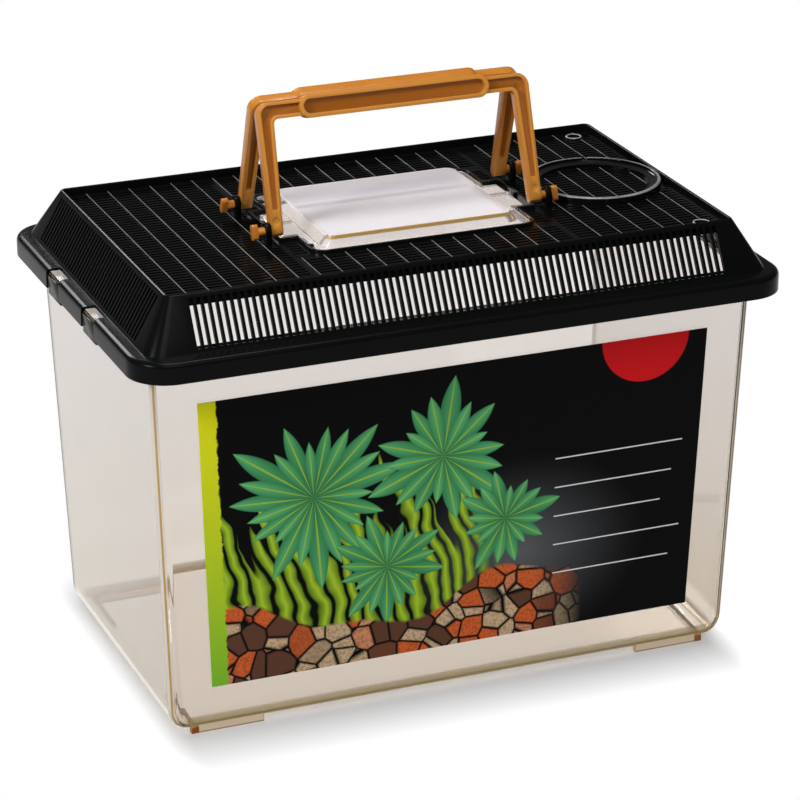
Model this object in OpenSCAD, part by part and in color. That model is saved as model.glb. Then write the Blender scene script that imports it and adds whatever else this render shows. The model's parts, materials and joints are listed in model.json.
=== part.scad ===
// Pet keeper: a clear tapered tub, a vented clip-on lid, a see-saw feeding hatch
// and two fold-flat handles that meet over the middle.
// Millimetres. X runs along the long side, the front faces -Y, Z is up.
// The origin is on the table, under the middle of the lid.

/* [Tub] */
// Height of the tub's top face above the table
tub_h = 181.6; // [150:1:220]
// Outer length of the tub just under its flange
tub_top_len = 282.4; // [276:0.2:284]
// Outer depth of the tub just under its flange
tub_top_dep = 156.4; // [150:0.2:160]
// Outer length of the tub at its floor
tub_base_len = 270; // [255:0.5:275]
// Outer depth of the tub at its floor
tub_base_dep = 145.5; // [135:0.5:150]
// Wall thickness of the tub
tub_wall = 2.0; // [1.4:0.1:3]
// Radius of the tub's upright corners
tub_corner_r = 2.5; // [2:0.5:6]
// Radius of the bend between the end walls and the floor
tub_end_bend_r = 10; // [4:0.5:14]
// Radius of the bend between the long walls and the floor
tub_side_bend_r = 3; // [2.5:0.5:4]
// Thickness of the flange that the lid rests on
flange_t = 2.0; // [1.4:0.1:3]
// Depth of the lip that turns down from the flange
flange_lip_h = 5.6; // [3:0.2:6]

/* [Feet] */
// Height of the feet below the tub's floor
foot_h = 4.7; // [3:0.1:8]
// Length of each leg of an L-shaped foot
foot_leg = 33.5; // [20:0.5:50]
// Thickness of a foot rib
foot_t = 2.2; // [1.6:0.1:3]
// Distance from the floor's end edge to a foot
foot_end_inset = 11.5; // [6:0.1:14]
// Distance from the floor's long edge to a foot
foot_side_inset = 0.6; // [0.4:0.1:6]

/* [Label] */
// Width of the label along its top edge
label_top_len = 237.6; // [150:1:250]
// Width of the label along its bottom edge
label_base_len = 228; // [150:1:240]
// Height of the label's bottom edge above the table
label_z0 = 21.6; // [14:0.2:60]
// Height of the label's top edge above the table
label_z1 = 156.4; // [90:0.2:165]
// Thickness of the label
label_t = 0.3; // [0.2:0.05:0.6]
// Thickness of the glue between the label and the tub
label_glue = 0.05; // [0.05:0.05:0.2]

/* [Lid shell] */
// Length over the skirt, the longest size of the keeper
skirt_len = 300; // [296:1:320]
// Depth over the skirt
skirt_dep = 195; // [190:1:215]
// Radius of the skirt's corners
skirt_corner_r = 18; // [12:0.5:24]
// Height of the skirt band
skirt_h = 9.3; // [8:0.1:14]
// Wall thickness of the lid
lid_t = 1.7; // [1.4:0.1:2.2]
// Rounding of the skirt's upper edge
skirt_edge_r = 2.6; // [1:0.1:3]
// Free space between the skirt and the tub's flange
lid_fit = 0.5; // [0.3:0.05:0.8]
// Gap left between the lid and the flange that it rests on
rest_gap = 0.3; // [0.2:0.05:0.5]
// Length over the rim at the top of the lid
rim_len = 261.3; // [250:0.1:266]
// Depth over the rim at the top of the lid
rim_dep = 152.7; // [148:0.1:160]
// Height of the slopes from the ledge to the rim
slope_h = 21.7; // [18:0.1:30]
// Horizontal run of the slopes
slope_run = 12.6; // [10:0.1:14]
// Radius of the slope corners at the ledge
slope_foot_r = 8; // [4:0.5:10]
// Radius of the rim's corners
rim_r = 3; // [2.5:0.1:5]
// Thickness of the rim lip
rim_t = 1.4; // [1:0.1:2]
// Depth of the grille below the top of the rim
rim_drop = 3.7; // [3:0.1:5]

/* [Snap tongues] */
// Width of a tongue on the end skirts
tongue_w = 18.4; // [12:0.2:22]
// Distance between the middles of the two tongues of one end
tongue_gap = 52; // [40:1:70]
// How far a tongue reaches below the skirt
tongue_drop = 2.4; // [1:0.1:4]
// How far a tongue's face lies behind the skirt's
tongue_recess = 0.3; // [0.2:0.1:0.8]

/* [Slope vents] */
// Spacing of the slots in the front and rear slopes
long_pitch = 3.21; // [3.1:0.01:6]
// Spacing of the slots in the end slopes
end_pitch = 3.26; // [3.1:0.01:6]
// Width of a slot in the slopes
vent_slot = 1.9; // [1:0.1:2.1]
// Plain stretch of the rim beyond the slots of the front and rear slopes
long_plain = 9; // [5:0.1:20]
// Plain stretch of the rim beyond the slots of the end slopes
end_plain = 6.5; // [5:0.1:20]

/* [Top grille] */
// Spacing of the cross ribs
rib_pitch = 10; // [8:0.5:16]
// How far the middle rib lies beside the middle of the lid
rib_shift = 1.0; // [0:0.1:3]
// Width of a cross rib
rib_w = 0.9; // [0.8:0.1:1.4]
// Height of a cross rib above the bars
rib_h = 0.6; // [0.3:0.1:1]
// Spacing of the fine bars
bar_pitch = 3.24; // [2.8:0.01:5]
// Width of a fine bar
bar_w = 1.5; // [1:0.1:1.9]
// Thickness of the grille plates
grille_t = 1.4; // [1:0.1:1.5]

/* [Cup seat] */
// Gap between the hatch's frame and the raised round collar
collar_gap = 7.95; // [6.6:0.05:16]
// Gap between the collar and the rim
collar_edge = 0.1; // [0.1:0.1:1]
// Thickness of the collar's wall
collar_t = 1.8; // [1:0.1:2]
// Distance from the outside of the collar to the sunk disc inside it
cup_land_w = 5; // [3:0.1:9]
// Outer radius of the two small ports
port_r = 3.9; // [3:0.1:5]
// Bore radius of the two small ports
port_bore_r = 3.0; // [2:0.1:3.4]
// Distance from the rim's end wall to a port
port_end = 9.8; // [6:0.1:16]
// Distance from the rim's long wall to a port
port_side = 7.4; // [6:0.1:14]

/* [Hatch] */
// Length of the clear hatch over its flange
hatch_len = 101.6; // [90:0.2:103]
// Depth of the clear hatch over its flange
hatch_dep = 81; // [70:0.2:84]
// Thickness of the hatch
hatch_t = 1.4; // [1.2:0.1:2]
// Length of the raised window of the hatch
window_len = 86.6; // [70:0.2:90]
// Depth of the raised window of the hatch
window_dep = 69.4; // [50:0.2:72]
// Height of the raised window above the flange
window_h = 4.1; // [2:0.1:5]
// How far the window's ends slope outwards
window_end_run = 3.6; // [2:0.1:5]
// How far the window's long sides slope outwards
window_side_run = 1.2; // [0.6:0.1:3]
// How far the ears reach past the flange
ear_reach = 6; // [4:0.1:6.4]
// Width of an ear
ear_w = 30; // [20:0.5:32]
// Room between the end of an ear and the wall of its well
well_end_gap = 2.7; // [1:0.1:3]
// Room between the side of an ear and the wall of its well
well_side_gap = 4; // [1:0.1:4.5]
// Radius of the hatch's pivot pins
pivot_r = 1.25; // [1:0.05:1.6]
// Distance of the pivot behind the hatch's middle
pivot_back = 2; // [0:0.1:4]
// Clearance round the hatch
hatch_gap = 0.5; // [0.3:0.05:0.8]
// Thickness of the low wall round the hatch
coaming_t = 1.3; // [1:0.1:1.8]
// Height of the low wall above the grille
coaming_h = 1.6; // [1:0.1:1.6]

/* [Handles] */
// How far the legs stand outside the hatch's frame
leg_outside = 2.9; // [1.5:0.1:5]
// Height of the beam's top above the pins
handle_h = 55; // [40:0.2:55]
// Width of a leg at the beam
leg_w = 7; // [6:0.1:9]
// How much narrower a leg is at its foot
leg_taper = 1.8; // [0:0.1:2.4]
// Height of the beam
beam_h = 7.6; // [5:0.2:9]
// Thickness of a leg
leg_t = 5; // [4:0.1:5.4]
// Length of the grip
grip_len = 88.8; // [60:0.2:96]
// Height of the grip
grip_h = 10.2; // [8:0.2:12]
// How far the grip stands proud on its outer side
grip_proud = 0.9; // [0.4:0.1:1.2]
// Lean of a handle towards the other one, in degrees
lean = 18; // [10:0.1:18]
// Distance of a pin row from the middle of the lid
pin_y = 20; // [20:0.1:22]
// Height of the pins above the grille bars
pin_h = 5.8; // [5.4:0.1:8]
// Radius of the rounded foot of a leg, about its pin
leg_end_r = 2.8; // [2.6:0.1:3.4]
// Radius of the handle pins
pin_r = 1.85; // [1.4:0.05:2.2]
// Clearance between a pin and its bore
pin_fit = 0.06; // [0.02:0.01:0.1]
// Thickness of a bearing lug
lug_t = 2.4; // [2:0.1:3.6]
// Radius of the round top of a lug
lug_r = 3.7; // [3.4:0.1:4.6]
// Gap between a leg and its lug when the handle is centred
lug_gap = 1.3; // [0.6:0.1:1.6]
// Gap between a lug and the head of its pin when the handle is centred
head_gap = 2.0; // [1.6:0.1:3]

/* [Hidden] */
eps = 0.01;
over = 1;

// Colours
c_tub = [0.87, 0.84, 0.79, 0.55];
c_black = [0.07, 0.07, 0.075];
c_clear = [0.93, 0.91, 0.86, 0.6];
c_ochre = [0.80, 0.52, 0.22];
c_label = [0.10, 0.11, 0.09];

// Heights, from the table upwards
skirt_top = tub_h + rest_gap + lid_t;
skirt_bottom = skirt_top - skirt_h;
rim_top = skirt_top + slope_h;
bar_top = rim_top - rim_drop;
grille_z = bar_top - grille_t;
rib_top = bar_top + rib_h;
pin_z = bar_top + pin_h;

// Tub
flange_len = skirt_len - 2 * (lid_t + lid_fit);
flange_dep = skirt_dep - 2 * (lid_t + lid_fit);
flange_r = skirt_corner_r - lid_t - lid_fit;
wall_z0 = foot_h + tub_end_bend_r;
wall_z1 = tub_h - flange_t / 2;
side_z0 = tub_base_dep > tub_top_dep ? wall_z0 : foot_h + tub_side_bend_r;
side_rake = (tub_top_dep - tub_base_dep) / 2 / (wall_z1 - side_z0);
bend_steps = 6;

// Tongues and the windows above them
window_drop = 2.6;
window_z = skirt_top - window_drop;
window_run = 6.4;
window_step = 1.4;
window_bevel = tongue_w / 8;
tongue_stub = 0.6;
tongue_step = 2.5 * tongue_recess;

// Slopes of the lid
slope_len = rim_len + 2 * slope_run;
slope_dep = rim_dep + 2 * slope_run;
slope_angle = atan2(slope_h, slope_run);
slope_side = norm([slope_h, slope_run]);
slope_wall = lid_t / sin(slope_angle);
pocket_len = rim_len - 2 * rim_t;
pocket_dep = rim_dep - 2 * rim_t;
pocket_r = rim_r - rim_t;
vent_foot = 0.8;
vent_head = 1.2;
vent_side = slope_side - vent_foot - vent_head;
vent_border = 0.9;
long_vent = vent_reach(rim_len, long_plain, long_pitch, 0.5);
end_vent = vent_reach(rim_dep, end_plain, end_pitch, 0);
slot_foot = 0.8;
slot_head = 0.9;
slot_min = 1.5;
field_border = 1.4;
pad_border = 1.2;

// Hatch and its frame
flange_half_x = hatch_len / 2;
flange_half_y = hatch_dep / 2;
hatch_sunk = 0.6;
hatch_z = bar_top - hatch_sunk;
hatch_r = 5;
window_r = 4.6;
window_foot_r = 5.6;
ear_x = flange_half_x + ear_reach;
pivot_z = hatch_z + hatch_t / 2;
frame_x = flange_half_x + hatch_gap;
frame_y = flange_half_y + hatch_gap;
well_x = ear_x + well_end_gap;
well_y = ear_w / 2 + well_side_gap;
frame_out_x = frame_x + coaming_t;
frame_out_y = frame_y + coaming_t;
well_out_x = well_x + coaming_t;
well_out_y = well_y + coaming_t;
frame_drop = 1;
frame_z = grille_z - frame_drop;
coaming_top = bar_top + coaming_h;
ledge_w = 2.4;
boss_t = 2.4;
catch_w = 3.6;
catch_reach = 2;
catch_inset = 9;
catch_y = flange_half_y - catch_inset;
notch_gap = 0.4;
boss_w = 6.4;
boss_proud = 0.3;
boss_top = coaming_top + boss_proud;

// Cup seat and ports
collar_r = (pocket_len / 2 - collar_edge - collar_gap - well_out_x) / 2;
collar_x = well_out_x + collar_gap + collar_r;
cup_disc_r = collar_r - cup_land_w;
port_x = pocket_len / 2 - port_end;
port_y = pocket_dep / 2 - port_side;
port_h = 1;
land_h = 1.5;
land_z = bar_top + land_h;
collar_sunk = 0.1;
collar_top = rim_top - collar_sunk;
collar_bevel = 0.45;
collar_step = 1.2;
notch_turn = 16;
notch_w = 2.4;
notch_h = 1.5;

// Handles
handle_x = well_out_x + leg_outside;
leg_in = handle_x - leg_w;
foot_in = leg_in + leg_taper;
foot_mid = (handle_x + foot_in) / 2;
lug_in = handle_x + lug_gap;
lug_out = lug_in + lug_t;
head_in = lug_out + head_gap;
handle_slide = lug_gap - rest_gap;
head_t = 2.7;
head_w = 3;
head_h = 6.8;
head_r = 1.3;
beam_out_r = 5.8;
beam_in_r = 2.2;
rib_border = 1.6;
grip_border = 1.9;
web_t = 1.4;
channel_start = 8.7;
mark_r = 1.6;
mark_u = 3.6;
mark_depth = 0.25;
corner_mark = 4.4;
corner_mark_down = 6;

// A rectangle with round corners, centred on the origin
module rounded(len, dep, r) {
    square([len - 2 * r, dep], center = true);
    square([len, dep - 2 * r], center = true);
    for (sx = [-1, 1], sy = [-1, 1])
        translate([sx * (len / 2 - r), sy * (dep / 2 - r)]) circle(r = r, $fn = 48);
}

// A thin rounded slab, used as one section of a tapered form
module slab(len, dep, r, z, t = eps) {
    translate([0, 0, z]) linear_extrude(t) rounded(len, dep, r);
}

// A profile of points [distance outside the path, height] swept round a rounded rectangle
module swept_ring(len, dep, r, profile) {
    for (sx = [0, 1], sy = [0, 1])
        mirror([sx, 0, 0]) mirror([0, sy, 0]) {
            translate([len / 2 - r, dep / 2 - r, 0])
                rotate_extrude(angle = 90, $fn = 72)
                    polygon([for (p = profile) [p[0] + r, p[1]]]);
            translate([len / 2, 0, 0]) rotate([90, 0, 0]) mirror([0, 0, 1])
                linear_extrude(dep / 2 - r) polygon(profile);
            translate([0, dep / 2, 0]) rotate([90, 0, 90])
                linear_extrude(len / 2 - r) polygon(profile);
        }
}

// Places children on a slope: local x along it, local y up it, local z outwards
module on_slope(side) {
    turn = side == "front" ? 0 : side == "right" ? 90 : side == "rear" ? 180 : 270;
    reach = (side == "front" || side == "rear") ? slope_dep / 2 : slope_len / 2;
    rotate([0, 0, turn]) translate([0, -reach, skirt_top]) rotate([slope_angle, 0, 0]) children();
}

// ---------------------------------------------------------------- tub

// The outside of the tub, or its inside when shrunk by t
module tub_form(t, z_top) {
    end_r = tub_end_bend_r - t;
    side_r = tub_side_bend_r - t;
    hull() {
        slab(tub_top_len - 2 * t, tub_top_dep - 2 * t, tub_corner_r - t / 2, z_top);
        for (i = [0 : bend_steps]) {
            up = end_r * (1 - cos(90 * i / bend_steps));
            slab(tub_base_len - 2 * t - 2 * bend_inset(end_r, up),
                 tub_base_dep - 2 * t - 2 * bend_inset(side_r, up),
                 tub_corner_r - t / 2, foot_h + t + up);
        }
    }
}

// How far a bend of radius r has drawn in at a height above its foot
function bend_inset(r, up) = up >= r ? 0 : r - sqrt(r * r - (r - up) * (r - up));

module tub() {
    color(c_tub) difference() {
        union() {
            tub_form(0, wall_z1);
            translate([0, 0, tub_h - flange_t])
                linear_extrude(flange_t) rounded(flange_len, flange_dep, flange_r);
            difference() {
                translate([0, 0, tub_h - flange_lip_h])
                    linear_extrude(flange_lip_h) rounded(flange_len, flange_dep, flange_r);
                translate([0, 0, tub_h - flange_lip_h - over])
                    linear_extrude(flange_lip_h + 2 * over)
                        rounded(flange_len - 2 * lid_t, flange_dep - 2 * lid_t, flange_r - lid_t);
            }
        }
        tub_form(tub_wall, tub_h + over);
    }
}

module tub_feet() {
    x = tub_base_len / 2 - foot_end_inset;
    y = tub_base_dep / 2 - foot_side_inset;
    color(c_tub) difference() {
        for (sx = [0, 1], sy = [0, 1]) mirror([sx, 0, 0]) mirror([0, sy, 0]) difference() {
            translate([x - foot_leg, y - foot_leg, 0])
                cube([foot_leg, foot_leg, foot_h + tub_side_bend_r]);
            translate([x - foot_leg - over, y - foot_leg - over, -over])
                cube([foot_leg + over - foot_t, foot_leg + over - foot_t, 2 * wall_z0]);
        }
        tub_form(0, wall_z1);
    }
}

module label() {
    rake = atan(side_rake);
    h = (label_z1 - label_z0) / cos(rake);
    y0 = -tub_base_dep / 2 - side_rake * (label_z0 - side_z0) - label_glue;
    color(c_label) translate([0, y0, label_z0]) rotate([90 + rake, 0, 0]) linear_extrude(label_t)
        polygon([[-label_base_len / 2, 0], [label_base_len / 2, 0],
                 [label_top_len / 2, h], [-label_top_len / 2, h]]);
}

// ---------------------------------------------------------------- lid

// The place of a tongue and the window above it, at the middle of the left skirt
module tongue_opening() {
    w = tongue_w / 2;
    top = skirt_top - window_z;
    translate([-skirt_len / 2 - over, -w, skirt_bottom - over])
        cube([lid_t + over, tongue_w, window_z - skirt_bottom + over]);
    translate([-skirt_len / 2 - over, 0, window_z]) rotate([90, 0, 90])
        linear_extrude(window_run + over)
        polygon([[-w, 0], [w, 0], [w, window_step], [w - window_bevel, top + over],
                 [window_bevel - w, top + over], [-w, window_step]]);
}

module lid_shell() {
    arc = [for (i = [0 : 6]) let (a = 15 * i)
           [skirt_edge_r * (cos(a) - 1), skirt_top - skirt_edge_r * (1 - sin(a))]];
    skirt = concat([[-lid_t, skirt_bottom], [0, skirt_bottom]], arc,
                   [[-skirt_edge_r - lid_t, skirt_top], [-skirt_edge_r - lid_t, skirt_top - lid_t],
                    [-lid_t, skirt_top - lid_t]]);
    low = skirt_top - lid_t - over;
    color(c_black) difference() {
        union() {
            swept_ring(skirt_len, skirt_dep, skirt_corner_r, skirt);
            translate([0, 0, skirt_top - lid_t]) linear_extrude(lid_t)
                rounded(skirt_len - 2 * skirt_edge_r, skirt_dep - 2 * skirt_edge_r,
                        skirt_corner_r - skirt_edge_r);
            hull() {
                slab(slope_len, slope_dep, slope_foot_r, skirt_top - lid_t / 2, lid_t / 2);
                slab(rim_len, rim_dep, rim_r, rim_top - eps);
            }
        }
        hull() {
            slab(inner_at(slope_len, low), inner_at(slope_dep, low), slope_foot_r - rim_t, low);
            slab(inner_at(slope_len, grille_z), inner_at(slope_dep, grille_z), pocket_r, grille_z);
        }
        translate([0, 0, grille_z - over])
            linear_extrude(rim_drop + grille_t + 2 * over) rounded(pocket_len, pocket_dep, pocket_r);
        for (sx = [0, 1], sy = [-1, 1])
            mirror([sx, 0, 0]) translate([0, sy * tongue_gap / 2, 0]) tongue_opening();
        for (side = ["front", "rear"]) on_slope(side) vent_blank(long_vent, over);
        for (side = ["left", "right"]) on_slope(side) vent_blank(end_vent, over);
    }
}

// Inside width of the slopes at a height, for an outside width at the ledge
function inner_at(width, z) = width - 2 * slope_run * (z - skirt_top) / slope_h - 2 * slope_wall;

// The stepped tongues that hold the lid on the flange
module snap_tongues() {
    x = -skirt_len / 2;
    foot = skirt_bottom - tongue_drop;
    color(c_black) for (sx = [0, 1], sy = [-1, 1])
        mirror([sx, 0, 0]) translate([0, sy * tongue_gap / 2 + tongue_w / 2, 0]) rotate([90, 0, 0])
            linear_extrude(tongue_w) polygon([
                [x + tongue_recess, window_z], [x + tongue_recess, skirt_bottom + tongue_stub],
                [x + tongue_step, skirt_bottom], [x + tongue_step, foot],
                [x + lid_t, foot], [x + lid_t, window_z]]);
}

// Distance from the middle of a slope to its last slot; phase 0.5 puts a bar in the middle
function vent_reach(rim, plain, pitch, phase) =
    (floor((rim / 2 - plain - vent_slot / 2) / pitch - phase) + phase) * pitch;

// A vent panel before it is slotted, thickened on its outer side by over
module vent_blank(reach, over = 0) {
    half = reach + vent_slot / 2 + vent_border;
    translate([-half, vent_foot, -lid_t - (over > 0 ? eps : 0)])
        cube([2 * half, vent_side, lid_t + over + (over > 0 ? eps : 0)]);
}

// A slotted panel of one slope
module vent_panel(reach, pitch) {
    difference() {
        vent_blank(reach);
        translate([0, vent_foot, -lid_t - over]) linear_extrude(lid_t + 2 * over)
            for (x = [-reach : pitch : reach + eps])
                translate([x - vent_slot / 2, slot_foot])
                    square([vent_slot, vent_side - slot_foot - slot_head]);
    }
}

module vent_front() { color(c_black) on_slope("front") vent_panel(long_vent, long_pitch); }
module vent_rear() { color(c_black) on_slope("rear") vent_panel(long_vent, long_pitch); }
module vent_left() { color(c_black) on_slope("left") vent_panel(end_vent, end_pitch); }
module vent_right() { color(c_black) on_slope("right") vent_panel(end_vent, end_pitch); }

// Slots between the bars and the cross ribs, over the rectangle x0..x1 by y0..y1
module slot_pattern(x0, x1, y0, y1) {
    slot_w = bar_pitch - bar_w;
    first_row = ceil((y0 + slot_w / 2) / bar_pitch - 0.5);
    last_row = floor((y1 - slot_w / 2) / bar_pitch - 0.5);
    first_col = floor((x0 - rib_shift) / rib_pitch);
    last_col = ceil((x1 - rib_shift) / rib_pitch) - 1;
    for (c = [first_col : last_col], r = [first_row : last_row]) {
        xa = max(c * rib_pitch + rib_shift + rib_w / 2, x0);
        xb = min((c + 1) * rib_pitch + rib_shift - rib_w / 2, x1);
        if (xb - xa > slot_min)
            translate([xa, (r + 0.5) * bar_pitch - slot_w / 2]) square([xb - xa, slot_w]);
    }
}

// Cross ribs that lie wholly between x0 and x1
module rib_pattern(x0, x1, y0, y1) {
    first = ceil((x0 + rib_w / 2 - rib_shift) / rib_pitch);
    last = floor((x1 - rib_w / 2 - rib_shift) / rib_pitch);
    for (c = [first : last])
        translate([c * rib_pitch + rib_shift - rib_w / 2, y0]) square([rib_w, y1 - y0]);
}

// One field of the top grille between x0..x1 and y0..y1
module grille_field(x0, x1, y0, y1, border = field_border) {
    color(c_black) {
        translate([0, 0, grille_z]) linear_extrude(grille_t) difference() {
            field_outline(x0, x1, y0, y1);
            difference() {
                slot_pattern(x0 + border, x1 - border, y0 + border, y1 - border);
                pad_area();
            }
            hole_area();
        }
        translate([0, 0, bar_top]) linear_extrude(rib_h) difference() {
            rib_pattern(x0, x1, y0 + border, y1 - border);
            pad_area();
        }
    }
}

// A field's outline, kept inside the lid's rounded pocket
module field_outline(x0, x1, y0, y1) {
    intersection() {
        rounded(pocket_len, pocket_dep, pocket_r);
        translate([x0, y0]) square([x1 - x0, y1 - y0]);
    }
}

// What the cup seat and the ports take out of the grille
module hole_area() {
    translate([collar_x, 0]) circle(r = collar_r, $fn = 96);
    for (sy = [-1, 1]) translate([port_x, sy * port_y]) circle(r = port_r, $fn = 48);
}

// Plain pads left under the lugs and round the cup seat and the ports
module pad_area() {
    translate([collar_x, 0]) circle(r = collar_r + pad_border, $fn = 96);
    for (sy = [-1, 1]) translate([port_x, sy * port_y]) circle(r = port_r + pad_border, $fn = 48);
    for (sx = [-1, 1], sy = [-1, 1])
        translate([sx * (lug_in + lug_out) / 2, sy * pin_y])
            square([lug_t + 2 * pad_border, 2 * (lug_r + pad_border)], center = true);
}

module grille_left() { grille_field(-pocket_len / 2, -well_out_x, -pocket_dep / 2, pocket_dep / 2); }
module grille_right() { grille_field(well_out_x, pocket_len / 2, -pocket_dep / 2, pocket_dep / 2); }
module grille_front() { grille_field(-well_out_x, well_out_x, -pocket_dep / 2, -frame_out_y); }
module grille_rear() { grille_field(-well_out_x, well_out_x, frame_out_y, pocket_dep / 2); }
module grille_corners() {
    for (sx = [0, 1], sy = [0, 1]) mirror([sx, 0, 0]) mirror([0, sy, 0])
        grille_field(frame_out_x, well_out_x, well_out_y, frame_out_y, pad_border);
}

// Outline of the hatch's seat with a well for each ear, grown by g
module seat_outline(g) {
    rounded(2 * (frame_x + g), 2 * (frame_y + g), hatch_r + hatch_gap + g);
    square([2 * (well_x + g), 2 * (well_y + g)], center = true);
}

module hatch_frame() {
    color(c_black) difference() {
        union() {
            translate([0, 0, frame_z]) linear_extrude(coaming_top - frame_z) difference() {
                seat_outline(coaming_t);
                seat_outline(0);
            }
            translate([0, 0, grille_z]) linear_extrude(grille_t) difference() {
                square([2 * frame_out_x, 2 * frame_out_y], center = true);
                seat_outline(0);
            }
            translate([0, 0, frame_z]) linear_extrude(hatch_z - rest_gap - frame_z) {
                for (s = [0, 1]) mirror([s, 0])
                    translate([frame_x - ledge_w, -frame_y + hatch_r])
                        square([ledge_w + coaming_t / 2, frame_y - hatch_r - well_y]);
                translate([-frame_x + hatch_r, -frame_y - coaming_t / 2])
                    square([2 * (frame_x - hatch_r), ledge_w + coaming_t / 2]);
            }
            for (s = [0, 1]) mirror([s, 0, 0])
                translate([well_out_x - boss_t, pivot_back - boss_w / 2, frame_z])
                    cube([boss_t, boss_w, boss_top - frame_z]);
            for (s = [-1, 1])
                translate([-frame_x - coaming_t / 2, s * catch_y - catch_w / 2, frame_z])
                    cube([catch_reach + coaming_t / 2, catch_w, coaming_top - frame_z]);
        }
        translate([0, pivot_back, pivot_z]) rotate([0, 90, 0])
            cylinder(r = pivot_r + pin_fit, h = 2 * (well_out_x + over), center = true, $fn = 48);
    }
}

// Round seat for a cup: a collar and a sloping land round a sunk disc
module cup_collar() {
    color(c_black) translate([collar_x, 0, 0]) difference() {
        rotate_extrude($fn = 120) polygon([
            [cup_disc_r, grille_z], [collar_r, grille_z], [collar_r, collar_top - collar_bevel],
            [collar_r - collar_bevel, collar_top], [collar_r - collar_t, collar_top],
            [collar_r - collar_t, collar_top - collar_step], [cup_disc_r, land_z]]);
        rotate([0, 0, -notch_turn])
            translate([-notch_w / 2, collar_r - 1.4 * collar_t, collar_top - notch_h])
                cube([notch_w, 2 * collar_t, 2 * notch_h]);
    }
}

module cup_grille() {
    x0 = collar_x - cup_disc_r;
    x1 = collar_x + cup_disc_r;
    color(c_black) {
        translate([0, 0, grille_z]) linear_extrude(grille_t) difference() {
            translate([collar_x, 0]) circle(r = cup_disc_r, $fn = 120);
            intersection() {
                slot_pattern(x0, x1, -cup_disc_r, cup_disc_r);
                translate([collar_x, 0]) circle(r = cup_disc_r - field_border, $fn = 120);
            }
        }
        translate([0, 0, bar_top]) linear_extrude(rib_h) intersection() {
            rib_pattern(x0, x1, -cup_disc_r, cup_disc_r);
            translate([collar_x, 0]) circle(r = cup_disc_r - field_border, $fn = 120);
        }
    }
}

module corner_ports() {
    color(c_black) for (sy = [-1, 1]) translate([port_x, sy * port_y, grille_z]) difference() {
        cylinder(r = port_r, h = grille_t + port_h, $fn = 48);
        translate([0, 0, -over])
            cylinder(r = port_bore_r, h = grille_t + port_h + 2 * over, $fn = 48);
    }
}

module handle_lugs() {
    color(c_black) for (sx = [0, 1], sy = [0, 1]) mirror([sx, 0, 0]) mirror([0, sy, 0])
        translate([lug_in, pin_y, pin_z]) rotate([90, 0, 90]) linear_extrude(lug_t) difference() {
            union() {
                circle(r = lug_r, $fn = 48);
                translate([-lug_r, -pin_h]) square([2 * lug_r, pin_h]);
            }
            circle(r = pin_r + pin_fit, $fn = 48);
        }
}

// ---------------------------------------------------------------- hatch

module hatch() {
    base_len = window_len + 2 * window_end_run;
    base_dep = window_dep + 2 * window_side_run;
    top = hatch_z + hatch_t + window_h;
    color(c_clear) {
        difference() {
            union() {
                translate([0, 0, hatch_z]) linear_extrude(hatch_t) difference() {
                    union() {
                        rounded(hatch_len, hatch_dep, hatch_r);
                        square([2 * ear_x, ear_w], center = true);
                    }
                    for (s = [-1, 1])
                        translate([-frame_x - over, s * catch_y - catch_w / 2 - notch_gap])
                            square([catch_reach + over + notch_gap, catch_w + 2 * notch_gap]);
                }
                hull() {
                    slab(base_len, base_dep, window_foot_r, hatch_z + hatch_t - eps);
                    slab(window_len, window_dep, window_r, top - eps);
                }
            }
            hull() {
                slab(base_len - 2 * hatch_t, base_dep - 2 * hatch_t, window_foot_r - hatch_t,
                     hatch_z - over);
                slab(window_len - 2 * hatch_t, window_dep - 2 * hatch_t, window_r - hatch_t,
                     top - hatch_t);
            }
        }
        for (s = [0, 1]) mirror([s, 0, 0])
            translate([base_len / 2, pivot_back, pivot_z]) rotate([0, 90, 0])
                cylinder(r = pivot_r, h = well_out_x - rest_gap - base_len / 2, $fn = 48);
    }
}

// ---------------------------------------------------------------- handles

// The open middle of a handle between its tapered legs, grown by b
module handle_gap(b) {
    r = beam_in_r + b;
    hull() {
        for (s = [-1, 1])
            translate([s * (leg_in + b - r), handle_h - beam_h + b - r]) circle(r = r, $fn = 48);
        translate([-foot_in - b, -2 * leg_end_r]) square([2 * (foot_in + b), eps]);
    }
}

// Outline of the legs and the beam, drawn in by b
module handle_outline(b) {
    difference() {
        intersection() {
            rounded(2 * (handle_x - b), 2 * (handle_h - b), beam_out_r - b);
            translate([-handle_x, -leg_end_r]) square([2 * handle_x, handle_h + leg_end_r]);
        }
        handle_gap(b);
    }
}

// The channel sunk into the legs and the beam, outside the grip
module handle_channel() {
    difference() {
        handle_outline(rib_border);
        translate([-handle_x, -leg_end_r]) square([2 * handle_x, channel_start + leg_end_r]);
        square([grip_len - grip_h, 4 * handle_h], center = true);
    }
}

module grip_outline(b) {
    u = handle_h - beam_h / 2;
    r = grip_h / 2;
    translate([0, u]) {
        square([grip_len - 2 * r, 2 * (r - b)], center = true);
        for (s = [-1, 1]) translate([s * (grip_len / 2 - r), 0]) circle(r = r - b, $fn = 48);
    }
}

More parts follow.
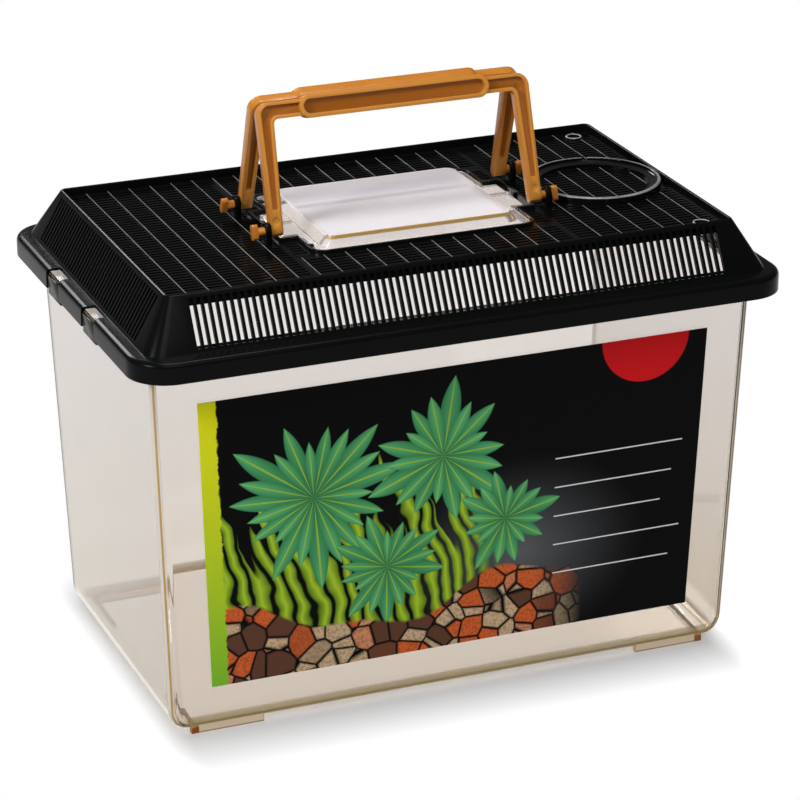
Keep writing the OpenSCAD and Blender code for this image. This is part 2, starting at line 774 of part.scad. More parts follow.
// One handle upright on its pins: x along it, y through it, z up from the pins
module handle_upright() {
    inner = leg_t / 2;
    outer = inner + grip_proud;
    difference() {
        union() {
            stood_up(-inner, inner) handle_outline(0);
            stood_up(-inner, outer) grip_outline(0);
        }
        for (span = [[web_t / 2, outer + over], [-inner - over, -web_t / 2]]) {
            stood_up(span[0], span[1]) difference() {
                handle_channel();
                grip_outline(0);
            }
            stood_up(span[0], span[1]) grip_outline(grip_border);
        }
        for (s = [-1, 1]) {
            translate([s * foot_mid, -inner, mark_u]) moulding_mark();
            translate([s * (handle_x - corner_mark), -web_t / 2, handle_h - corner_mark_down])
                moulding_mark();
            translate([s * foot_mid, 0, 0]) leg_end_cut();
        }
    }
    for (s = [0, 1]) mirror([s, 0, 0]) {
        translate([foot_mid, 0, 0]) rotate([0, 90, 0])
            cylinder(r = pin_r, h = head_in - foot_mid, $fn = 48);
        translate([head_in, 0, 0]) rotate([90, 0, 90])
            linear_extrude(head_t) rounded(head_w, head_h, head_r);
    }
}

// The shallow round mark that an ejector leaves on an outer face
module moulding_mark() {
    rotate([90, 0, 0]) cylinder(r = mark_r, h = 2 * mark_depth, center = true, $fn = 32);
}

// Stands a flat outline up, from a distance behind its middle plane to one in front of it
module stood_up(back, front) {
    rotate([90, 0, 0]) translate([0, 0, back]) linear_extrude(front - back) children();
}

// What is cut off below the pins so that a leg ends in a round foot
module leg_end_cut() {
    rotate([0, 90, 0]) difference() {
        translate([0, -leg_t, -leg_w]) cube([2 * leg_end_r, 2 * leg_t, 2 * leg_w]);
        cylinder(r = leg_end_r, h = 4 * leg_w, center = true, $fn = 48);
    }
}

module handle_front() {
    color(c_ochre) translate([-handle_slide, -pin_y, pin_z]) rotate([-lean, 0, 0]) handle_upright();
}

module handle_rear() {
    mirror([0, 1, 0]) handle_front();
}

tub();
tub_feet();
label();
lid_shell();
snap_tongues();
vent_front();
vent_rear();
vent_left();
vent_right();
grille_left();
grille_right();
grille_front();
grille_rear();
grille_corners();
hatch_frame();
cup_collar();
cup_grille();
corner_ports();
handle_lugs();
hatch();
handle_front();
handle_rear();
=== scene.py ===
import json
import math

import bmesh
import bpy
from mathutils import Matrix, Vector


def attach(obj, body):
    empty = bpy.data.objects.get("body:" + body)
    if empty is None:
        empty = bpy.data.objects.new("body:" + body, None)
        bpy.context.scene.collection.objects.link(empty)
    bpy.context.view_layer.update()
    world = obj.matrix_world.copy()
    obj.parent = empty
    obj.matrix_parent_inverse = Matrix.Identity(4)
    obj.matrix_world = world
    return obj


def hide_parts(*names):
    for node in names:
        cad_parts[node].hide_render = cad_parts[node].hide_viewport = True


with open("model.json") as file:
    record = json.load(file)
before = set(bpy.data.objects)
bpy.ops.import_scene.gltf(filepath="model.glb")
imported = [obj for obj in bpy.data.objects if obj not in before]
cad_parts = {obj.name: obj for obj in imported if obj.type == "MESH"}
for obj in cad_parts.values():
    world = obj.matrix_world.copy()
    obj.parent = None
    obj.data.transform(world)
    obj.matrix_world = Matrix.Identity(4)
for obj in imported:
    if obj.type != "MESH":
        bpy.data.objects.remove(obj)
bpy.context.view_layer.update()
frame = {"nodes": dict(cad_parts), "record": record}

MM = 0.001


# ---------------------------------------------------------------- camera

VIEW_AZIMUTH = -21.80
VIEW_ELEVATION = 21.86
VIEW_ROLL = -0.20
VIEW_FOCUS = Vector((0.0, 0.0, 0.100))
VIEW_OFFSET = Vector((0.00329, 0.01043, 1.56681))
FOCAL_IN_FRAMES = 3441.4 / 800
SENSOR = 36.0


def look_through_camera():
    """The camera stands at the front left, above the lid, with a long lens."""
    a, e, r = (math.radians(v) for v in (VIEW_AZIMUTH, VIEW_ELEVATION, VIEW_ROLL))
    back = Vector((math.sin(a) * math.cos(e), -math.cos(a) * math.cos(e), math.sin(e)))
    right = Vector((math.cos(a), math.sin(a), 0.0))
    up = back.cross(right)
    right, up = (math.cos(r) * right + math.sin(r) * up, math.cos(r) * up - math.sin(r) * right)
    turn = Matrix((right, up, back)).transposed()
    data = bpy.data.cameras.new("camera")
    data.sensor_width = SENSOR
    data.lens = SENSOR * FOCAL_IN_FRAMES
    data.clip_end = 20
    camera = bpy.data.objects.new("camera", data)
    camera.matrix_world = Matrix.Translation(VIEW_FOCUS + turn @ VIEW_OFFSET) @ turn.to_4x4()
    bpy.context.scene.collection.objects.link(camera)
    bpy.context.scene.camera = camera


look_through_camera()
bpy.context.scene.view_settings.view_transform = "Standard"


# ---------------------------------------------------------------- shader maths

class Wire:
    """A shader socket that takes part in Python arithmetic."""

    def __init__(self, tree, socket):
        self.tree = tree
        self.socket = socket

    def math(self, operation, *others, clamp=False):
        node = self.tree.nodes.new("ShaderNodeMath")
        node.operation = operation
        node.use_clamp = clamp
        for place, value in enumerate((self,) + others):
            put(self.tree, value, node.inputs[place])
        return Wire(self.tree, node.outputs[0])

    def __add__(self, other): return self.math("ADD", other)
    __radd__ = __add__
    def __mul__(self, other): return self.math("MULTIPLY", other)
    __rmul__ = __mul__
    def __sub__(self, other): return self.math("SUBTRACT", other)
    def __rsub__(self, other): return self.math("MULTIPLY", -1.0) + other
    def __truediv__(self, other): return self.math("DIVIDE", other)
    def __neg__(self): return self.math("MULTIPLY", -1.0)
    def __abs__(self): return self.math("ABSOLUTE")
    def above(self, edge): return self.math("GREATER_THAN", edge)
    def below(self, edge): return self.math("LESS_THAN", edge)
    def least(self, other): return self.math("MINIMUM", other)
    def most(self, other): return self.math("MAXIMUM", other)
    def part(self): return self.math("FRACT")
    def clamped(self): return self.math("ADD", 0.0, clamp=True)
    def rising(self, low, high): return ((self - low) / (high - low)).clamped()


def put(tree, value, target):
    """Links a wire to a socket, or sets the socket's own value."""
    if isinstance(value, Wire):
        tree.links.new(value.socket, target)
    else:
        target.default_value = value


class Finish:
    """A material whose node tree is written as Python expressions."""

    def __init__(self, name):
        self.material = bpy.data.materials.new(name)
        self.material.use_nodes = True
        self.tree = self.material.node_tree
        self.tree.nodes.clear()
        self.output = self.tree.nodes.new("ShaderNodeOutputMaterial")

    def node(self, kind, settings=None, out=0, **sockets):
        """A node of any kind: its settings first, then its sockets by name."""
        made = self.tree.nodes.new(kind)
        for key, value in (settings or {}).items():
            setattr(made, key, value)
        for key, value in sockets.items():
            put(self.tree, value, made.inputs[key.replace("_", " ")])
        return Wire(self.tree, made.outputs[out])

    def place(self):
        """The three object coordinates, in metres."""
        made = self.tree.nodes.new("ShaderNodeSeparateXYZ")
        self.point = self.node("ShaderNodeTexCoord", out="Object")
        self.tree.links.new(self.point.socket, made.inputs[0])
        return [Wire(self.tree, made.outputs[i]) for i in range(3)]

    def noise(self, scale, detail=2.0, roughness=0.5):
        return self.node("ShaderNodeTexNoise", Vector=self.point, Scale=scale, Detail=detail,
                         Roughness=roughness)

    def mix(self, factor, low, high):
        """A colour between two colours."""
        made = self.tree.nodes.new("ShaderNodeMix")
        made.data_type = "RGBA"
        for value, place in ((factor, 0), (low, 6), (high, 7)):
            put(self.tree, value if isinstance(value, (Wire, float)) else (*value, 1.0), made.inputs[place])
        return Wire(self.tree, made.outputs[2])

    def surface(self, **sockets):
        """Ends the material in a principled shader."""
        made = self.tree.nodes.new("ShaderNodeBsdfPrincipled")
        for key, value in sockets.items():
            put(self.tree, value, made.inputs[key.replace("_", " ")])
        self.tree.links.new(made.outputs[0], self.output.inputs["Surface"])
        return made

    def bumped(self, height, strength, distance):
        return self.node("ShaderNodeBump", Strength=strength, Distance=distance, Height=height)


# ---------------------------------------------------------------- finishes

CLEAR_ROUGHNESS = 0.04
CLEAR_IOR, CLOUD_IOR = 1.52, 1.18
CLOUD_COLOUR = (0.90, 0.885, 0.955)
SHADOW_TINT = (0.800, 0.805, 0.825, 1.0)


def clear_plastic(name, wall_tint, absorbed, stains, haze=None, end_tint=None):
    """Clear polystyrene: the longer the way through it, the more amber it looks.

    wall_tint and end_tint each hold the colour at the floor and at the rim, and end_tint is for the
    end walls above their bends. absorbed holds what is lost per metre in red, green and blue.
    stains gives, for the object coordinates in millimetres, the places where light has come a long
    way along a wall, as (strength, colour) pairs, and haze how milky the rest is.
    """
    finish = Finish(name)
    tree = finish.tree
    x, y, z = (wire * (1 / MM) for wire in finish.place())
    streaks = finish.noise(38.0, 3.0)
    up = (z * (1 / TUB_RIM)).clamped().math("SQRT")
    tint = finish.mix(up, *wall_tint)
    if end_tint:
        at_end = (abs(x) - tub_walls(z)[0] + END_SKIN).above(0.0) * (z - END_TINT_FOOT).rising(0.0, 4.0)
        tint = finish.mix(at_end, tint, finish.mix(up, *end_tint))
    glass = finish.surface(
        Base_Color=tint,
        Roughness=streaks.rising(0.35, 0.75) * CLEAR_ROUGHNESS + CLEAR_ROUGHNESS * 0.5,
        IOR=CLEAR_IOR,
        Transmission_Weight=1.0,
    )
    colour, cover = CLOUD_COLOUR, haze(x, y, z) if haze else 0.0
    for strength, stain in stains(x, y, z):
        colour = finish.mix((strength * 3.0).clamped(), colour, stain)
        cover = strength.most(cover)
    cloud = finish.surface(Base_Color=colour, Roughness=0.12, IOR=CLOUD_IOR)
    milky = tree.nodes.new("ShaderNodeMixShader")
    put(tree, cover, milky.inputs[0])
    tree.links.new(glass.outputs[0], milky.inputs[1])
    tree.links.new(cloud.outputs[0], milky.inputs[2])
    passing = tree.nodes.new("ShaderNodeBsdfTransparent")
    passing.inputs["Color"].default_value = SHADOW_TINT
    choice = tree.nodes.new("ShaderNodeMixShader")
    put(tree, finish.node("ShaderNodeLightPath", out="Is Shadow Ray"), choice.inputs[0])
    tree.links.new(milky.outputs[0], choice.inputs[1])
    tree.links.new(passing.outputs[0], choice.inputs[2])
    tree.links.new(choice.outputs[0], finish.output.inputs["Surface"])
    density = max(absorbed) * 1.1
    depth = tree.nodes.new("ShaderNodeVolumeAbsorption")
    depth.inputs["Color"].default_value = (*(1.0 - a / density for a in absorbed), 1.0)
    depth.inputs["Density"].default_value = density
    tree.links.new(depth.outputs[0], finish.output.inputs["Volume"])
    return finish.material


AMBER = (0.46, 0.28, 0.080)
CREAM = (0.75, 0.69, 0.59)
OLIVE = (0.42, 0.31, 0.115)
ORANGE = (0.28, 0.068, 0.001)
BEIGE = (0.79, 0.63, 0.43)
BROWN = (0.33, 0.21, 0.11)

# Sizes of the tub as it is drawn, in millimetres, and where the tint of its end walls lies
TUB_END, TUB_SIDE = 133.45, 72.75
END_LEAN, SIDE_LEAN = 6.1, 5.45
END_BEND, SIDE_BEND = 10.0, 3.0
TUB_FLOOR, TUB_RIM = 2.6, 181.6
CORNER = 2.5
END_SKIN = 2.4
END_TINT_FOOT = 11.0

# The olive bands: the heights where they start to show and to deepen, and their places along x and y
SIDE_BAND_TOP, SIDE_BAND_DEEP, SIDE_BAND_FACE, SIDE_BAND_END = 9.0, 7.5, 70.9, 129.0
END_BAND_TOP, END_BAND_START = 7.0, 126.5

# The L-shaped feet: just inside both legs, the free end, and the tops of the brown line and the orange block
FOOT_END_LEG, FOOT_SIDE_LEG, FOOT_TIP = 120.0, 69.0, 90.4
FOOT_RIM, FOOT_BLOCK = 0.7, 3.2

# The hatch: edges of its flange and its window, and half the width of an ear
FLANGE_SIDE, FLANGE_END, HALF_EAR = 40.1, 50.4, 15.5
WINDOW_FRONT, WINDOW_LIP, WINDOW_END = 31.5, 33.9, 42.5


def tub_walls(z):
    """How far out the end and side walls stand at a height, bends included, in millimetres."""
    end_z, side_z = TUB_FLOOR + END_BEND, TUB_FLOOR + SIDE_BEND
    drop = (end_z - z).most(0.0).least(END_BEND)
    round_out = (END_BEND * END_BEND - drop * drop).math("SQRT")
    end = (z - end_z).most(0.0) * (END_LEAN / (TUB_RIM - end_z)) + round_out
    return end + (TUB_END - END_BEND), (z - side_z) * (SIDE_LEAN / (TUB_RIM - side_z)) + TUB_SIDE


def tub_stains(x, y, z):
    """The rounded corners with an amber line down each, and the olive bends along the floor."""
    end, side = tub_walls(z)
    short_x, short_y = end - abs(x), side - abs(y)
    corner = (CORNER - short_x).rising(-0.1, 0.3) * (CORNER - short_y).rising(-0.1, 0.3)
    corner = corner * (TUB_RIM - 0.6 - z).rising(0.0, 0.5)
    corner = corner * (0.5 + y.below(0.0) * 0.5)
    line = (0.75 - abs(short_y - short_x + 0.75)).rising(0.0, 0.45) * corner
    depth = (SIDE_BAND_TOP - z).rising(0.0, 1.3) * 0.62 + (SIDE_BAND_DEEP - z).rising(0.0, 3.0) * 0.3
    side_band = depth * (abs(y) - SIDE_BAND_FACE).rising(0.0, 0.2)
    side_band = side_band * (SIDE_BAND_END - abs(x)).rising(0.0, 5.0)
    end_band = (END_BAND_TOP - z).rising(0.0, 2.0) * (abs(x) - END_BAND_START).rising(0.0, 2.0)
    return ((corner * 0.85, CREAM), (end_band * 0.8, OLIVE), (side_band, OLIVE), (line * 0.95, AMBER))


def foot_stains(x, y, z):
    """Side legs look beige, with orange ends and a brown foot line, and end legs are nearly clear."""
    side = (abs(y) - FOOT_SIDE_LEG).rising(0.0, 0.4)
    end = (abs(x) - FOOT_END_LEG).rising(0.0, 0.4) * side
    tip = (FOOT_TIP - abs(x)).rising(0.0, 0.4)
    rim = (FOOT_RIM - z).rising(0.0, 0.3)
    low = (FOOT_BLOCK - z).rising(0.0, 0.5)
    return ((side * 0.60 + 0.25, BEIGE), (rim * (side * 0.5 + 0.3), BROWN),
            (tip.most(end) * 0.5, AMBER), (end * low * 0.97, ORANGE))


def hatch_stains(x, y, z):
    """The front edge of the raised window, and the outline of the flange."""
    top = z - cad_span("hatch")[1].z / MM
    front = (-WINDOW_FRONT - y).rising(0.0, 2.0)
    lip = (-WINDOW_LIP - y).rising(0.0, 0.2).most((abs(x) - WINDOW_END).rising(0.0, 0.2))
    lip = lip * (top + 1.5).rising(0.0, 0.2)
    flange = (abs(y) - FLANGE_SIDE).rising(0.0, 0.2).most((abs(x) - FLANGE_END).rising(0.0, 0.2))
    flange = flange * (HALF_EAR - abs(y)).below(0.0)
    return (flange * 0.7, BROWN), (lip * front * 0.95, AMBER)


def hatch_haze(x, y, z):
    """The raised window is milkier than the rest of the hatch."""
    top = z - cad_span("hatch")[1].z / MM
    return (top + 0.5).rising(0.0, 0.3) * 0.36 + 0.12


BLACK_LOW, BLACK_HIGH = (0.0024, 0.0026, 0.0026), (0.0040, 0.0043, 0.0042)


def black_plastic(name, rough, ior, highlight_mask=None, highlight_grey=0.1):
    """Black moulding with a faint flow pattern and fine handling marks, and, where a mask is given, a grey
    painted highlight along its edges, broken up in patches.
    """
    finish = Finish(name)
    x, y, z = (wire * (1 / MM) for wire in finish.place())
    flow = finish.noise(14.0, 3.0)
    grain = finish.noise(900.0, 2.0)
    marks = finish.noise(160.0, 4.0, 0.7)
    colour = finish.mix(flow, BLACK_LOW, BLACK_HIGH)
    # Painted highlight: a grey base colour laid along the masked edges, patchy with the handling marks.
    if highlight_mask:
        patchy = marks.rising(0.30, 0.62) * 0.55 + 0.45
        colour = finish.mix(highlight_mask(x, y, z) * patchy, colour, (highlight_grey, highlight_grey * 1.01, highlight_grey * 1.02))
    finish.surface(
        Base_Color=colour,
        Roughness=marks.rising(0.45, 0.75) * 0.05 + rough,
        IOR=ior,
        Normal=finish.bumped(grain * 0.5 + flow * 0.5, 0.04, 0.0001),
    )
    return finish.material


RIB_PITCH, RIB_SHIFT, RIB_CREST = 10.0, 1.0, 0.45


def rib_tops(x, y, z):
    """The tops of the cross ribs of the grille, where a grey painted highlight goes."""
    beside = abs(((x - RIB_SHIFT) * (1 / RIB_PITCH) + 0.5).part() - 0.5) * RIB_PITCH
    top = z - (cad_span("grille_front")[1].z / MM - 0.35)
    return (RIB_CREST * 0.5 - beside).rising(-0.10, 0.05) * top.rising(0.0, 0.15)


def top_edge_of(node, depth):
    """The highest edges of a node, down to a depth in millimetres, where a painted highlight goes."""
    return lambda x, y, z: (z - (cad_span(node)[1].z / MM - depth)).rising(0.0, 0.2)


def cup_ring_edge(x, y, z):
    """The outer edge of the ring round the cup seat, where a painted highlight goes."""
    low, high = (corner / MM for corner in cad_span("cup_collar"))
    dx, dy = x - (low.x + high.x) * 0.5, y - (low.y + high.y) * 0.5
    outward = (dx * dx + dy * dy).math("SQRT") - ((high.x - low.x) * 0.5 - 1.7)
    return (z - (high.z - 0.6)).rising(0.0, 0.2) * outward.rising(0.0, 0.25)


HANDLE_TILT = math.radians(18.0)
HANDLE_PIN_Y, HANDLE_PIN_Z = 20.0, 207.4


def ochre_plastic():
    """Satin ochre moulding with painted shade in its channels, a painted highlight on the front faces of its
    raised border, and fine scuffs.
    """
    finish = Finish("ochre_moulding")
    x, y, z = (wire * (1 / MM) for wire in finish.place())
    beside = (HANDLE_PIN_Y - abs(y)) * math.cos(HANDLE_TILT)
    off_middle = abs(beside - (z - HANDLE_PIN_Z) * math.sin(HANDLE_TILT))
    facing = finish.tree.nodes.new("ShaderNodeSeparateXYZ")
    put(finish.tree, finish.node("ShaderNodeTexCoord", out="Normal"), facing.inputs[0])
    flat = abs(Wire(finish.tree, facing.outputs[1])).rising(0.55, 0.80)
    channel_shade = flat * (1.3 - off_middle).rising(0.0, 0.3)
    border_highlight = flat * (off_middle - 1.6).rising(0.0, 0.5)
    flow = finish.noise(60.0, 3.0)
    grain = finish.noise(1400.0, 2.0)
    scuffs = finish.noise(260.0, 4.0, 0.7)
    colour = finish.mix(flow, (0.44, 0.150, 0.013), (0.54, 0.200, 0.022))
    # Painted shade darkens the channel floors, and a painted highlight lightens the front faces of the
    # border.
    colour = finish.mix(channel_shade * 0.55, colour, (0.32, 0.085, 0.004))
    colour = finish.mix(border_highlight * 0.60, colour, (0.72, 0.310, 0.055))
    finish.surface(
        Base_Color=colour,
        Roughness=scuffs.rising(0.4, 0.7) * 0.12 + 0.28,
        IOR=1.38,
        Normal=finish.bumped(grain, 0.10, 0.0001),
    )
    return finish.material


# ---------------------------------------------------------------- label print

BLACK_INK = (0.0018, 0.0018, 0.0022)
GREY_INK = (0.115, 0.120, 0.125)
YELLOW_INK = (0.88, 0.84, 0.010)
GREEN_INK = (0.215, 0.52, 0.030)
LEAF_DEEP = (0.020, 0.155, 0.055)
LEAF_BRIGHT = (0.120, 0.50, 0.190)
BLADE_DARK = (0.050, 0.120, 0.008)
BLADE_LIGHT = (0.42, 0.62, 0.030)
STONE_ORANGE = (0.70, 0.130, 0.028)
STONE_BROWN = (0.120, 0.050, 0.028)
STONE_CREAM = (0.66, 0.46, 0.27)
RED_INK = (0.78, 0.012, 0.016)
WHITE_INK = (0.86, 0.86, 0.86)


def edge(distance, soft=0.25):
    """1 where a signed distance in millimetres is positive, with a soft border."""
    return distance.rising(-soft, soft)


def rosette(x, z, centre, reach, leaves, turn):
    """Distance inside a ring of pointed leaves, how far across each leaf, and how far out."""
    dx, dz = x - centre[0], z - centre[1]
    far = (dx * dx + dz * dz).math("SQRT")
    angle = dz.math("ARCTAN2", dx) * (leaves / math.tau) + turn
    length = (angle.math("FLOOR") * (3 * math.tau / leaves) + turn * 9.0).math("SINE") * 0.14 + 0.86
    across = abs(angle.part() - 0.5) * 2.0
    out = far / (length * reach)
    width = (1.0 - out * out) * 0.93
    inside = (width - across) * far * (math.pi / leaves)
    return inside.most(3.0 - far), across / width.most(0.05), out


def printed_label():
    """A made-up print: leaves over pebbles on black, a torn band, a red half disc and rules."""
    low, high = cad_span("label")
    foot, head = low.z / MM, high.z / MM
    left, right = low.x / MM, high.x / MM
    finish = Finish("printed_film")
    wires = finish.place()
    x, z = wires[0] * (1 / MM), wires[2] * (1 / MM)
    ragged = finish.noise(260.0, 3.0, 0.7) - 0.5
    wavy = finish.noise(34.0, 2.0) - 0.5

    glow_x, glow_z = x - (left + 150.0), z - (foot + 40.0)
    glow = 1.0 - ((glow_x * glow_x + glow_z * glow_z * 1.6).math("SQRT") * (1 / 62.0))
    colour = finish.mix(glow.clamped().math("POWER", 1.6), BLACK_INK, GREY_INK)

    lean = x + z * 0.32 + wavy * 22.0
    blade = abs((lean * (1 / 7.5)).part() - 0.5) * 2.0
    tip = z - (foot + 74.0) - (lean * 0.55).math("SINE") * 13.0 - (lean * 0.21).math("SINE") * 16.0
    blades = edge((0.74 - blade) * 3.7, 0.3) * edge(-tip, 2.5) * edge(left + 132.0 - x, 9.0)
    shade = finish.mix((blade * 1.2).clamped(), BLADE_LIGHT, BLADE_DARK)
    colour = finish.mix(blades, colour, shade)

    for centre, reach, leaves, turn in (((left + 52.0, head - 52.0), 45.0, 11.0, 0.10),
                                        ((left + 112.0, head - 42.0), 38.0, 9.0, 0.45),
                                        ((left + 142.0, foot + 58.0), 27.0, 8.0, 0.20),
                                        ((left + 86.0, foot + 44.0), 30.0, 9.0, 0.75)):
        for layer, grown in ((0.0, 1.0), (0.5, 0.80)):
            inside, across, out = rosette(x, z, centre, reach * grown, leaves, turn + layer)
            leaf = finish.mix((out * 0.9 + wavy * 0.6 + layer * 0.3).clamped(), LEAF_DEEP, LEAF_BRIGHT)
            leaf = finish.mix(across.rising(0.35, 1.0) * 0.65, leaf, LEAF_DEEP)
            leaf = finish.mix(across.rising(0.16, 0.04) * 0.7, leaf, BLADE_LIGHT)
            colour = finish.mix(edge(inside, 0.25), colour, leaf)

    hill = foot + 25.0 + (x * 0.045).math("SINE") * 9.0 + (x * 0.11).math("SINE") * 3.0 + wavy * 5.0
    grit = {"feature": "DISTANCE_TO_EDGE", "voronoi_dimensions": "3D"}
    gap = finish.node("ShaderNodeTexVoronoi", grit, Vector=finish.point, Scale=105.0)
    pick = finish.node("ShaderNodeTexVoronoi", {"voronoi_dimensions": "3D"}, out="Color",
                       Vector=finish.point, Scale=105.0)
    split = finish.tree.nodes.new("ShaderNodeSeparateColor")
    put(finish.tree, pick, split.inputs[0])
    warm, pale = Wire(finish.tree, split.outputs[0]), Wire(finish.tree, split.outputs[1])
    speck = finish.noise(900.0, 2.0, 0.6).rising(0.48, 0.60)
    stone = finish.mix(edge(warm - 0.42, 0.05), STONE_BROWN, STONE_ORANGE)
    stone = finish.mix(edge(pale - 0.66, 0.05), stone, STONE_CREAM)
    stone = finish.mix(speck * 0.45, stone, STONE_BROWN)
    stone = finish.mix(gap.rising(0.02, 0.09), BLACK_INK, stone)
    fade = edge(left + 168.0 - x, 12.0)
    colour = finish.mix(edge(hill - z, 0.8) * fade, colour, stone)

    for row in range(5):
        level = head - 52.0 - 14.0 * row
        reach = 62.0 - 5.0 * (row % 3)
        rule = edge(0.28 - abs(z - level), 0.12) * edge(x - (right - 72.0), 0.2)
        colour = finish.mix(rule * edge(right - 72.0 + reach - x, 0.2), colour, WHITE_INK)

    dx, dz = x - (right - 30.0), z - head
    disc = 21.0 - (dx * dx + dz * dz).math("SQRT")
    colour = finish.mix(edge(disc), colour, RED_INK)

    band = left + 12.5 + ragged * 3.2 + wavy * 1.5 + (z - foot) * -0.035
    fresh = finish.mix(((z - foot) * (1 / (head - foot))).clamped(), GREEN_INK, YELLOW_INK)
    colour = finish.mix(edge(band - x), colour, fresh)

    finish.surface(Base_Color=colour, Roughness=finish.noise(90.0).rising(0.3, 0.8) * 0.06 + 0.20, IOR=1.12)
    return finish.material


def cad_span(node):
    """The two far corners of a node, in metres."""
    corners = [vertex.co for vertex in frame["nodes"][node].data.vertices]
    return (Vector(min(c[i] for c in corners) for i in range(3)),
            Vector(max(c[i] for c in corners) for i in range(3)))


TUB_ABSORBED, HATCH_ABSORBED = (5.0, 15.0, 40.0), (8.0, 24.0, 60.0)
WALL_TINT = ((0.868, 0.812, 0.765), (0.868, 0.858, 0.893))
END_TINT = ((0.580, 0.525, 0.430), (0.766, 0.748, 0.790))
HATCH_TINT = ((0.905, 0.89, 0.92), (0.905, 0.89, 0.92))
tub_clear = clear_plastic("clear_tub_wall", WALL_TINT, TUB_ABSORBED, tub_stains, end_tint=END_TINT)
foot_clear = clear_plastic("clear_foot_wall", WALL_TINT, TUB_ABSORBED, foot_stains)
hatch_clear = clear_plastic("clear_hatch_wall", HATCH_TINT, HATCH_ABSORBED, hatch_stains, hatch_haze)
black = black_plastic("black_moulding", 0.20, 1.13)
# These four finishes grey the rib tops, the cup ring's outer edge and the top edges of the port rings and
# coaming as a painted highlight.
ribbed_black = black_plastic("black_rib_tops", 0.20, 1.13, rib_tops, 0.17)
ring_black = black_plastic("black_cup_ring", 0.16, 1.45, cup_ring_edge, 0.25)
port_black = black_plastic("black_port_ring", 0.16, 1.45, top_edge_of("corner_ports", 0.4), 0.30)
coaming_black = black_plastic("black_coaming", 0.16, 1.45, top_edge_of("hatch_frame", 0.3), 0.10)
ochre = ochre_plastic()
film = printed_label()


# ---------------------------------------------------------------- pieces

SMOOTH_BELOW, SHARP_ABOVE = 35.0, 40.0
CAD_TUB_END = 135.0
CAD_TUB_RIM_END = 141.3
FLOOR_REACH = 20.0


def merged_copy(node):
    """The shape of a node as one connected mesh."""
    shape = bmesh.new()
    shape.from_mesh(frame["nodes"][node].data)
    bmesh.ops.remove_doubles(shape, verts=shape.verts, dist=2e-6)
    return shape


def stand_for(node, name, shape, material):
    """Puts a finished shape in the place of a node, with its bends shaded smooth."""
    limit = math.radians(SMOOTH_BELOW)
    for face in shape.faces:
        face.smooth = True
    for rim in shape.edges:
        rim.smooth = rim.is_manifold and rim.calc_face_angle(math.pi) < limit
    mesh = bpy.data.meshes.new(name)
    shape.to_mesh(mesh)
    shape.free()
    mesh.materials.append(material)
    piece = bpy.data.objects.new(name, mesh)
    bpy.context.scene.collection.objects.link(piece)
    body = next(b for b, members in frame["record"]["behaviour"]["bodies"].items() if node in members)
    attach(piece, body)
    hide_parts(node)


def soften(shape, width, steps=2, above=-1.0):
    """Rounds the sharp edges of a shape that lie higher than a level."""
    bmesh.ops.dissolve_limit(shape, angle_limit=math.radians(0.6), verts=shape.verts, edges=shape.edges)
    limit = math.radians(SHARP_ABOVE)
    sharp = [e for e in shape.edges if e.is_manifold and abs(e.calc_face_angle(0.0)) > limit
             and min(v.co.z for v in e.verts) > above]
    bmesh.ops.bevel(shape, geom=sharp, offset=width, offset_type="OFFSET", segments=steps,
                    profile=0.5, affect="EDGES", clamp_overlap=True, material=-1)


def paint(node, material):
    mesh = frame["nodes"][node].data
    mesh.materials.clear()
    mesh.materials.append(material)


def settle(shape, squeeze):
    """Lets the floor down to its height in TUB_FLOOR and scales the length below the rim by squeeze.

    The rim and its flange stay, and so does what the feet stand on.
    """
    cad_floor = cad_span("tub")[0].z
    floor_drop = cad_floor - TUB_FLOOR * MM
    for vertex in shape.verts:
        if abs(vertex.co.x) < CAD_TUB_RIM_END * MM:
            vertex.co.x *= squeeze
        if vertex.co.z < FLOOR_REACH * MM:
            vertex.co.z -= floor_drop * min(1.0, vertex.co.z / cad_floor)
    return shape


stand_for("tub", "tub_moulding", settle(merged_copy("tub"), TUB_END / CAD_TUB_END), tub_clear)
stand_for("tub_feet", "tub_feet_ribs", settle(merged_copy("tub_feet"), 1.0), foot_clear)
stand_for("hatch", "hatch_moulding", merged_copy("hatch"), hatch_clear)

for node, width, steps, finish in (("lid_shell", 0.6, 3, black), ("cup_collar", 0.75, 4, ring_black),
                                   ("hatch_frame", 0.5, 3, coaming_black),
                                   ("corner_ports", 0.35, 3, port_black)):
    shape = merged_copy(node)
    soften(shape, width * MM, steps, above=cad_span(node)[1].z - 0.5 * MM)
    stand_for(node, node + "_moulding", shape, finish)

for handle in ("handle_front", "handle_rear"):
    shape = merged_copy(handle)
    soften(shape, 0.3 * MM)
    stand_for(handle, handle + "_moulding", shape, ochre)
for node in ("handle_lugs", "snap_tongues"):
    shape = merged_copy(node)
    soften(shape, 0.25 * MM)
    stand_for(node, node + "_moulding", shape, black)
for node in ("grille_left", "grille_right", "grille_front", "grille_rear", "grille_corners", "cup_grille"):
    shape = merged_copy(node)
    soften(shape, 0.38 * MM, 3, above=cad_span(node)[1].z - 0.2 * MM)
    stand_for(node, node + "_moulding", shape, ribbed_black)
for node in ("vent_front", "vent_rear", "vent_left", "vent_right"):
    paint(node, black)
paint("label", film)


# ---------------------------------------------------------------- stage

def seen_rays(tree):
    """1 for the rays that look at the background: straight, mirrored or through clear plastic."""
    path = tree.nodes.new("ShaderNodeLightPath")
    straight, mirrored, through = (Wire(tree, path.outputs[name]) for name in
                                   ("Is Camera Ray", "Is Glossy Ray", "Is Transmission Ray"))
    return straight, mirrored, through


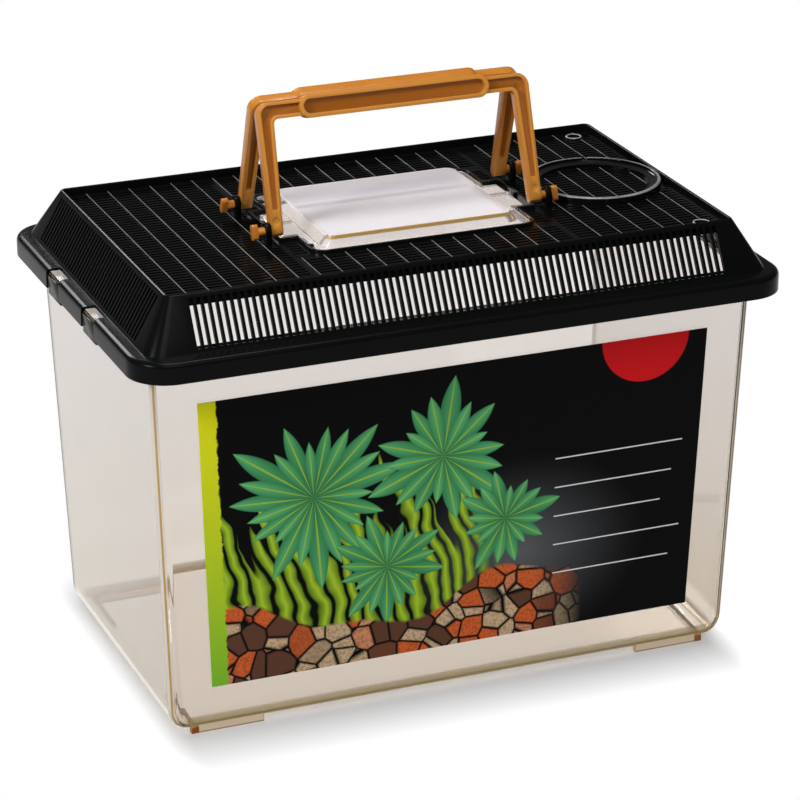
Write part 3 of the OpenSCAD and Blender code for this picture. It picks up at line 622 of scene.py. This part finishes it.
def white_floor():
    """White paper with a soft shadow round the keeper, deepened there by a grey paper colour as painted
    shadow, and plain white further out.
    """
    finish = Finish("floor_paper")
    tree = finish.tree
    x, y, z = finish.place()
    dx, dy = (abs(x) - 0.124).most(0.0) * 3.2, (abs(y) - 0.066).most(0.0)
    # Painted shadow: near the keeper's footprint the paper is grey, fading into plain white with distance.
    away = (dx * dx + dy * dy).math("SQRT").rising(0.009, 0.041)
    paper = tree.nodes.new("ShaderNodeBsdfDiffuse")
    paper.inputs["Color"].default_value = (0.605, 0.612, 0.635, 1.0)
    glow = tree.nodes.new("ShaderNodeEmission")
    glow.inputs["Color"].default_value = (1.0, 1.0, 1.0, 1.0)
    glow.inputs["Strength"].default_value = 1.0
    lift = tree.nodes.new("ShaderNodeMixShader")
    straight, mirrored, through = seen_rays(tree)
    put(tree, (straight * away).most(mirrored).most(through), lift.inputs[0])
    tree.links.new(paper.outputs[0], lift.inputs[1])
    tree.links.new(glow.outputs[0], lift.inputs[2])
    tree.links.new(lift.outputs[0], finish.output.inputs["Surface"])
    shape = bmesh.new()
    bmesh.ops.create_grid(shape, x_segments=1, y_segments=1, size=6.0)
    mesh = bpy.data.meshes.new("floor")
    shape.to_mesh(mesh)
    shape.free()
    mesh.materials.append(finish.material)
    floor = bpy.data.objects.new("floor", mesh)
    bpy.context.scene.collection.objects.link(floor)


def studio_world():
    """A white wall low down round the keeper and a dim room above it."""
    world = bpy.data.worlds.new("studio")
    world.use_nodes = True
    tree = world.node_tree
    tree.nodes.clear()
    way = tree.nodes.new("ShaderNodeTexCoord")
    split = tree.nodes.new("ShaderNodeSeparateXYZ")
    tree.links.new(way.outputs["Generated"], split.inputs[0])
    up = Wire(tree, split.outputs[2])
    wall = tree.nodes.new("ShaderNodeBackground")
    wall.inputs["Color"].default_value = (1.0, 1.0, 1.0, 1.0)
    wall.inputs["Strength"].default_value = 1.0
    room = tree.nodes.new("ShaderNodeBackground")
    room.inputs["Color"].default_value = (0.97, 0.98, 1.0, 1.0)
    room.inputs["Strength"].default_value = 0.12
    choice = tree.nodes.new("ShaderNodeMixShader")
    put(tree, up.rising(-0.01, 0.05), choice.inputs[0])
    tree.links.new(wall.outputs[0], choice.inputs[1])
    tree.links.new(room.outputs[0], choice.inputs[2])
    output = tree.nodes.new("ShaderNodeOutputWorld")
    tree.links.new(choice.outputs[0], output.inputs[0])
    bpy.context.scene.world = world


def softbox(name, direction, distance, size, power):
    """A square lamp that faces the middle of the keeper."""
    data = bpy.data.lights.new(name, "AREA")
    data.shape = "RECTANGLE"
    data.size, data.size_y = size
    data.energy = power
    lamp = bpy.data.objects.new(name, data)
    toward = Vector(direction).normalized()
    lamp.location = VIEW_FOCUS + toward * distance
    lamp.rotation_euler = toward.to_track_quat("Z", "Y").to_euler()
    bpy.context.scene.collection.objects.link(lamp)


white_floor()
studio_world()
softbox("key", (-0.78, -0.26, 0.55), 1.7, (0.45, 0.40), 16)
softbox("top", (0.05, 0.10, 1.0), 1.6, (0.6, 0.5), 13)
softbox("front", (-0.12, -0.80, 1.05), 1.9, (1.0, 0.7), 10)
softbox("edge_light", (-0.10, 0.86, 0.50), 2.0, (0.8, 0.3), 12)


# ---------------------------------------------------------------- end

bpy.context.view_layer.update()
